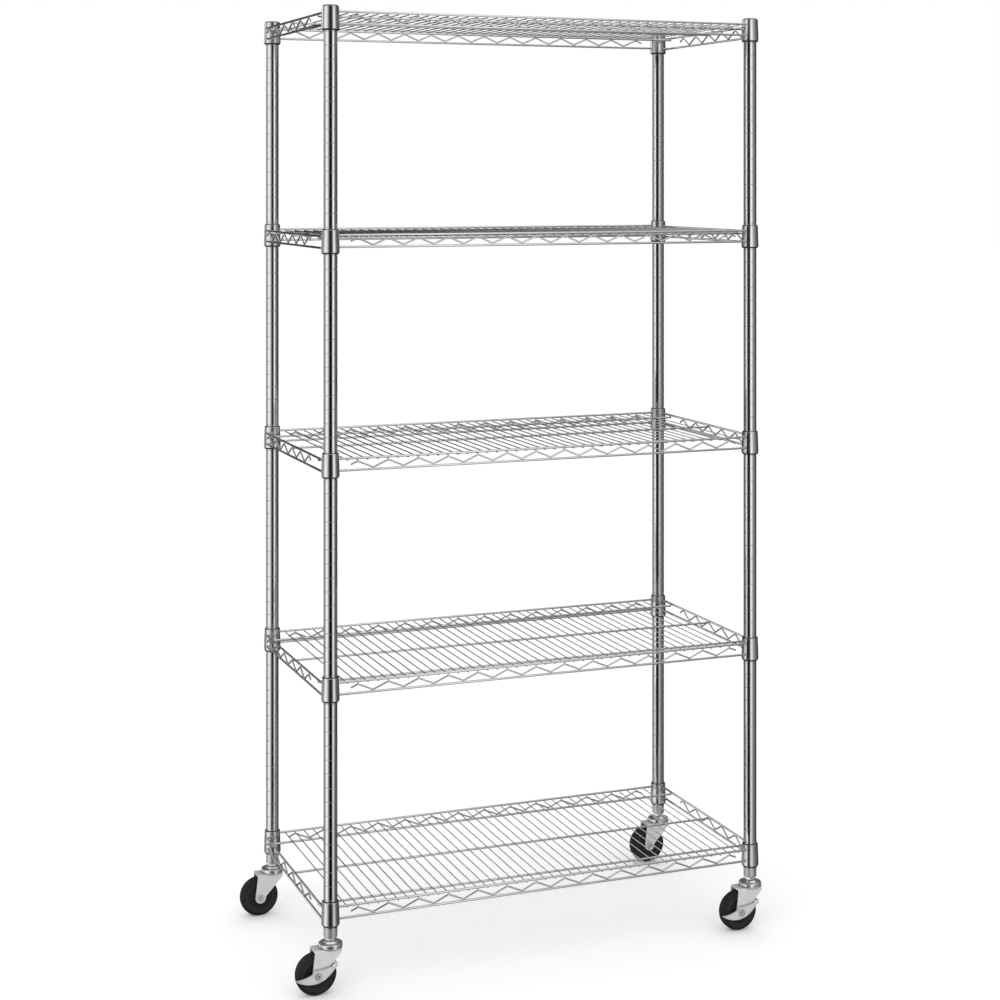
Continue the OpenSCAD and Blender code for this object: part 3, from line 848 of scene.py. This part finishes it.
def build_wheel(corner):
    """Tyre with a rounded tread on a hub with dished sides."""
    axle = axle_place(corner)
    low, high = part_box(corner + "_tyre")
    r = (high.z - low.z) / 2
    half = (high.y - low.y) / 2
    core = 27 * MM
    shoulder = 8.5 * MM
    right = [(core, half - 0.8 * MM), (core + 0.6 * MM, half)]
    right += arc(r - shoulder, half - shoulder, shoulder, 88, 12, 14)
    tread = [(r, half - shoulder), (r, 0.6 * MM), (r, 0)]
    outline = right + tread
    outline += [(radius, -z) for radius, z in reversed(outline[:-1])]
    outline.append((core, 0))
    soup = Soup()
    soup.add(*moved(lathe(outline, 128), axle, ON_AXLE))
    place(soup.make(f"{corner}_tyre_ring", TYRE, 40), corner + "_wheel", "tyre_rubber", corner + "_tyre")
    hub = 13.7 * MM
    face = [(6.05 * MM, hub), (9 * MM, hub), (10 * MM, hub - 0.8 * MM), (11 * MM, 10.2 * MM),
            (12.5 * MM, 9.4 * MM), (22 * MM, 9.2 * MM), (23.5 * MM, 9.8 * MM), (24.2 * MM, 10.4 * MM),
            (core - 0.1 * MM, 10.5 * MM)]
    outline = face + [(radius, -z) for radius, z in reversed(face)]
    soup = Soup()
    soup.add(*moved(lathe(outline, FINE), axle, ON_AXLE))
    place(soup.make(f"{corner}_wheel_hub", HUB_BLACK, 40), corner + "_wheel", "wheel_plastic",
          corner + "_wheel_core")


def leaf_edges(share):
    """Lower and upper edge of the brake lever at a share of its length, before it is tilted."""
    bow = 1 - (2 * share - 1) ** 2
    low = -19 * MM * bow
    step = 1 / (1 + math.exp(-(share - 0.45) * 90))
    behind = 4.8 * MM - 3.2 * MM * math.sin(math.pi / 2 * min(max(share - 0.46, 0) / 0.32, 1))
    behind *= min(1.0, (1 - share) / 0.03 + 0.35)
    ahead = -2.2 * MM * math.sin(math.pi * min(share / 0.45, 1.0))
    return low, ahead * (1 - step) + behind * step


def leaf_point(along, up, out, axle):
    """A point of the lever: along and up in the leaf's own tilted frame, out from the wheel's middle."""
    flat = LEAF_TILT @ Vector((along, up))
    return axle + Vector((flat.x + LEAF_MID.x, -out, flat.y + LEAF_MID.y))


def leaf_skin(columns, rows, half, front, thick, axle):
    """The leaf: a dished plate with a raised rim all round."""
    outer, inner = [], []
    for i in range(columns + 1):
        share = 0.004 + 0.992 * i / columns
        bottom, top = leaf_edges(share)
        height = top - bottom
        rim = min(0.28, 1.5 * MM / max(height, 0.1 * MM))
        steps = [0, 0.5 * rim, rim, 1.6 * rim]
        steps += [1.6 * rim + (1 - 3.2 * rim) * (k + 1) / (rows - 6) for k in range(rows - 7)]
        steps += [1 - 1.6 * rim, 1 - rim, 1 - 0.5 * rim, 1]
        for k, up in enumerate(steps):
            raised = k in (0, 1, rows - 1, rows)
            proud = front + (0.5 * MM if raised else -0.5 * MM)
            along = half * (2 * share - 1)
            outer.append(leaf_point(along, bottom + height * up, proud, axle))
            inner.append(leaf_point(along, bottom + height * up, front - thick, axle))
    return outer, inner


def grid_solid(outer, inner, columns, rows):
    """Closes two grids of points, one behind the other, into a plate."""
    width = rows + 1
    base = len(outer)
    faces = []
    for i in range(columns):
        for k in range(rows):
            a = i * width + k
            faces.append((a, a + width, a + width + 1, a + 1))
            faces.append((base + a, base + a + 1, base + a + width + 1, base + a + width))
    rim = list(range(width)) + [i * width + rows for i in range(1, columns + 1)]
    rim += [columns * width + k for k in range(rows - 1, -1, -1)]
    rim += [i * width for i in range(columns - 1, 0, -1)]
    for a, b in zip(rim, rim[1:] + rim[:1]):
        faces.append((a, b, base + b, base + a))
    return outer + inner, faces


def block(corners_low, corners_high):
    """A closed block between two four-cornered faces."""
    faces = [(0, 1, 2, 3), (4, 7, 6, 5), (0, 4, 5, 1), (1, 5, 6, 2), (2, 6, 7, 3), (3, 7, 4, 0)]
    return list(corners_low) + list(corners_high), faces


def build_brake(corner):
    """Pressed leaf-shaped lever with a raised rim, a thin ear, and an arm with a pad over the tread."""
    axle = axle_place(corner)
    thick = 2 * MM
    front = axle.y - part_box(corner + "_brake")[0].y
    back = front - thick
    half = 40.5 * MM
    columns, rows = 90, 14
    soup = Soup()
    outer, inner = leaf_skin(columns, rows, half, front, thick, axle)
    soup.add(*grid_solid(outer, inner, columns, rows))
    ear = [(0.80 * half, 1.0), (1.12 * half, 2.2), (1.12 * half, 4.2), (0.80 * half, 3.6)]
    soup.add(*block([leaf_point(x, up * MM, back + 0.5 * MM, axle) for x, up in ear],
                    [leaf_point(x, up * MM, front + 0.4 * MM, axle) for x, up in ear]))
    turn = math.radians(27)
    spoke = Vector((math.cos(turn), 0, math.sin(turn)))
    across = Vector((-math.sin(turn), 0, math.cos(turn))) * 4 * MM
    reach = 39.6 * MM
    arm = [(reach - 8 * MM, -1), (reach + 2 * MM, -1), (reach + 2 * MM, 1), (reach - 8 * MM, 1)]
    pad = [(reach, -1), (reach + 2 * MM, -1), (reach + 2 * MM, 1), (reach, 1)]
    for outline, deep, near in ((arm, back, front - 0.2 * MM), (pad, back - 13 * MM, back + 1 * MM)):
        flat = [axle + spoke * r + across * side for r, side in outline]
        close, away = Vector((0, near, 0)), Vector((0, deep, 0))
        soup.add(*block([p - close for p in flat], [p - away for p in flat]))
    piece = soup.make(f"{corner}_brake_leaf", ZINC, 35)
    bevel = piece.modifiers.new("edges", "BEVEL")
    bevel.width = 0.25 * MM
    bevel.segments = 2
    bevel.limit_method = "ANGLE"
    bevel.angle_limit = math.radians(60)
    place(piece, corner + "_brake_lever", "zinc_plate", corner + "_brake")


def build_casters():
    build_stems()
    build_races()
    build_lower_races()
    for corner in CORNERS:
        build_fork(corner)
        build_axle(corner)
        build_wheel(corner)
        for part in ("balls", "bush"):
            for slot in frame["nodes"][f"{corner}_{part}"].material_slots:
                slot.material = STEEL
    for corner in BRAKED:
        build_brake(corner)


# ---------- studio ----------

def emission(tree, strength):
    node = tree.nodes.new("ShaderNodeEmission")
    node.inputs["Strength"].default_value = strength
    return node


def upright_board(name, start, end, low, high):
    """A flat upright sheet between two points in plan, seen by polished metal only."""
    mesh = bpy.data.meshes.new(name)
    corners = [(*start, low), (*end, low), (*end, high), (*start, high)]
    mesh.from_pydata(corners, [], [(0, 1, 2, 3)])
    board = bpy.data.objects.new(name, mesh)
    bpy.context.scene.collection.objects.link(board)
    board.visible_camera = False
    board.visible_diffuse = False
    board.visible_shadow = False
    board.visible_transmission = False
    material = bpy.data.materials.new(name + "_finish")
    material.use_nodes = True
    material.node_tree.nodes.clear()
    mesh.materials.append(material)
    return material.node_tree


def show(tree, shader, kind="ShaderNodeOutputMaterial"):
    output = tree.nodes.new(kind)
    tree.links.new(shader, output.inputs["Surface"])


def build_floor():
    mesh = bpy.data.meshes.new("floor")
    size = 30
    corners = [(-size, -size, 0), (size, -size, 0), (size, size, 0), (-size, size, 0)]
    mesh.from_pydata(corners, [], [(0, 1, 2, 3)])
    shader = Shader("floor_white")
    tint = shader.noise(0.4, detail=2)
    shader.link(shader.ramp(tint, [(0.2, (0.96, 0.96, 0.96)), (0.8, (0.97, 0.97, 0.97))]),
                shader.surface.inputs["Base Color"])
    shader.set(Roughness=0.9, Specular_IOR_Level=0.0, Emission_Color=(1, 1, 1, 1), Emission_Strength=0.07)
    mesh.materials.append(shader.material)
    floor = bpy.data.objects.new("floor", mesh)
    bpy.context.scene.collection.objects.link(floor)
    floor.visible_glossy = False


def build_reflector():
    """A soft lighting board in front of the rack, with a dark strip for the posts to mirror."""
    left, right = MID_X - 2.2, MID_X + 2.6
    y = -HALF_Y - 1.1
    tree = upright_board("reflector", (left, y), (right, y), -1.2, 3.2)
    split = tree.nodes.new("ShaderNodeSeparateXYZ")
    tree.links.new(tree.nodes.new("ShaderNodeTexCoord").outputs["Object"], split.inputs[0])
    along = maths(tree, "DIVIDE", maths(tree, "SUBTRACT", split.outputs["X"], left), right - left)
    bands = ramp(tree, along, [
        (0.00, 0.85), (0.07, 0.65), (0.14, 0.36), (0.19, 0.20), (0.22, 0.05), (0.25, 0.01), (0.38, 0.01),
        (0.40, 0.10), (0.43, 0.50), (0.475, 1.05), (0.52, 1.25), (0.575, 0.80), (0.65, 0.42), (0.75, 0.28),
        (1.0, 0.15)])
    up = maths(tree, "ADD", maths(tree, "DIVIDE", split.outputs["Z"], 4.0), 0.3)
    fall = ramp(tree, up, [(0.0, 0.60), (0.25, 0.72), (0.42, 0.95), (0.6, 1.0)])
    glow = emission(tree, 1.0)
    tree.links.new(mix(tree, 1.0, bands, fall, "MULTIPLY"), glow.inputs["Color"])
    show(tree, glow.outputs[0])


def ray_start(tree):
    """Where the ray that hit a surface set out from."""
    hit = tree.nodes.new("ShaderNodeNewGeometry")
    path = tree.nodes.new("ShaderNodeLightPath")
    start = tree.nodes.new("ShaderNodeVectorMath")
    start.operation = "MULTIPLY_ADD"
    tree.links.new(hit.outputs["Incoming"], start.inputs[0])
    tree.links.new(path.outputs["Ray Length"], start.inputs[1])
    tree.links.new(hit.outputs["Position"], start.inputs[2])
    return start.outputs["Vector"]


def build_card(corner, turn, spread):
    """A dark upright card beside a right-hand post. Only polished metal at that post sees it."""
    x, y, _, low, high = POSTS[corner]
    away = Vector((math.sin(math.radians(turn)), -math.cos(math.radians(turn))))
    centre = Vector((x, y)) + away * CARD_DISTANCE
    half = Vector((-away.y, away.x)) * CARD_DISTANCE * math.tan(math.radians(spread))
    tree = upright_board("card_" + corner, centre - half, centre + half, low, high)
    split = tree.nodes.new("ShaderNodeSeparateXYZ")
    tree.links.new(ray_start(tree), split.inputs[0])
    choose = tree.nodes.new("ShaderNodeMixShader")
    tree.links.new(maths(tree, "GREATER_THAN", split.outputs["X"], x - 20 * MM), choose.inputs[0])
    tree.links.new(tree.nodes.new("ShaderNodeBsdfTransparent").outputs[0], choose.inputs[1])
    tree.links.new(emission(tree, 0.02).outputs[0], choose.inputs[2])
    show(tree, choose.outputs[0])


def bearing(tree, direction):
    """Share of a full turn round the rack, counted from behind it as the camera sees it."""
    yaw = math.radians(CAMERA_YAW)
    axes = []
    for axis in ((math.cos(yaw), -math.sin(yaw), 0), (-math.sin(yaw), -math.cos(yaw), 0)):
        dot = tree.nodes.new("ShaderNodeVectorMath")
        dot.operation = "DOT_PRODUCT"
        dot.inputs[1].default_value = axis
        tree.links.new(direction, dot.inputs[0])
        axes.append(dot.outputs["Value"])
    turn = maths(tree, "ARCTAN2", axes[0], axes[1])
    return maths(tree, "ADD", maths(tree, "DIVIDE", turn, 2 * math.pi), 0.5)


def soft_boxes(tree, around, height):
    """Upright soft boxes and dark gaps near the horizon, with one box raised behind to the left."""
    boxes = ramp(tree, around, [
        (0.0, 0.05), (0.108, 0.02), (0.124, 0.80), (0.142, 0.75), (0.170, 0.16), (0.225, 0.30),
        (0.245, 0.52), (0.29, 0.88), (0.33, 1.2), (0.37, 1.0), (0.41, 0.85), (0.68, 0.40), (0.72, 0.22),
        (0.77, 0.09), (0.87, 0.05), (0.93, 0.12), (1.0, 0.05)])
    raised = ramp(tree, around, [(0.12, 0.0), (0.135, 1.4), (0.16, 1.4), (0.19, 0.0)])
    above = ramp(tree, height, [(0.52, 0.0), (0.56, 1.0)])
    return mix(tree, 1.0, boxes, mix(tree, 1.0, raised, above, "MULTIPLY"), "ADD")


def ceiling(tree, around, height):
    """Light from overhead and from the floor, weak behind to the left."""
    sky = ramp(tree, height, [(0.0, 0.10), (0.2, 0.22), (0.32, 0.45), (0.62, 0.40), (0.8, 0.30),
                              (0.92, 1.1), (1.0, 1.3)])
    shade = ramp(tree, around, [(0.0, 0.2), (0.04, 0.1), (0.16, 0.1), (0.26, 1.0), (0.88, 1.0), (1.0, 0.2)])
    return mix(tree, 1.0, sky, shade, "MULTIPLY")


def build_world():
    """White to the eye and to matt surfaces. Polished metal sees soft boxes and a ceiling."""
    world = bpy.data.worlds.new("studio")
    bpy.context.scene.world = world
    world.use_nodes = True
    tree = world.node_tree
    tree.nodes.clear()
    direction = tree.nodes.new("ShaderNodeTexCoord").outputs["Generated"]
    around = bearing(tree, direction)
    split = tree.nodes.new("ShaderNodeSeparateXYZ")
    tree.links.new(direction, split.inputs[0])
    height = maths(tree, "ADD", maths(tree, "MULTIPLY", split.outputs["Z"], 0.5), 0.5)
    band = ramp(tree, height, [(0.20, 1.0), (0.30, 0.0), (0.66, 0.0), (0.78, 1.0)])
    shiny = tree.nodes.new("ShaderNodeBackground")
    seen = mix(tree, band, soft_boxes(tree, around, height), ceiling(tree, around, height))
    tree.links.new(seen, shiny.inputs["Color"])
    plain = tree.nodes.new("ShaderNodeBackground")
    plain.inputs["Color"].default_value = (1, 1, 1, 1)
    plain.inputs["Strength"].default_value = 1.0
    choose = tree.nodes.new("ShaderNodeMixShader")
    tree.links.new(tree.nodes.new("ShaderNodeLightPath").outputs["Is Glossy Ray"], choose.inputs[0])
    tree.links.new(plain.outputs[0], choose.inputs[1])
    tree.links.new(shiny.outputs[0], choose.inputs[2])
    show(tree, choose.outputs[0], "ShaderNodeOutputWorld")


def build_light():
    """One big soft key light from the front left, for the shadows under the wheels."""
    light = bpy.data.lights.new("key", "AREA")
    light.shape = "RECTANGLE"
    light.size = 2.5
    light.size_y = 2.0
    light.energy = 30
    key = bpy.data.objects.new("key", light)
    bpy.context.scene.collection.objects.link(key)
    key.location = (-2.5, -2.8, 3.6)
    key.rotation_euler = (Vector((0, 0, 0.6)) - key.location).to_track_quat("-Z", "Y").to_euler()
    key.visible_glossy = False


def build_camera():
    """Level camera with a falling front, so that the posts stay upright in the picture."""
    data = bpy.data.cameras.new("camera")
    camera = bpy.data.objects.new("camera", data)
    bpy.context.scene.collection.objects.link(camera)
    data.sensor_width = 36
    data.lens = CAMERA_LENS
    data.clip_start = 0.1
    data.clip_end = 100
    camera.location = CAMERA_PLACE
    camera.rotation_euler = (math.radians(90), 0, math.radians(-CAMERA_YAW))
    bpy.context.scene.camera = camera
    # The shift belongs to this viewpoint only: it fades to nothing when the camera is moved elsewhere.
    driver = data.driver_add("shift_y").driver
    driver.type = "SCRIPTED"
    for name, path in (("x", "location[0]"), ("y", "location[1]")):
        variable = driver.variables.new()
        variable.name = name
        variable.targets[0].id = camera
        variable.targets[0].data_path = path
    px, py = CAMERA_PLACE.x, CAMERA_PLACE.y
    driver.expression = f"{CAMERA_SHIFT} if abs(x - {px:.4f}) + abs(y - {py:.4f}) < 0.01 else 0.0"


def build_studio():
    build_world()
    build_reflector()
    build_card("front_right", -51.7, 26.3)
    build_card("rear_right", -42.3, 24.5)
    build_floor()
    build_light()
    build_camera()
    settings = bpy.context.scene.view_settings
    settings.view_transform = "Standard"
    settings.look = "None"


build_posts()
build_caps()
build_inserts()
for shelf_level in LEVELS:
    build_shelf(shelf_level)
build_casters()
build_studio()
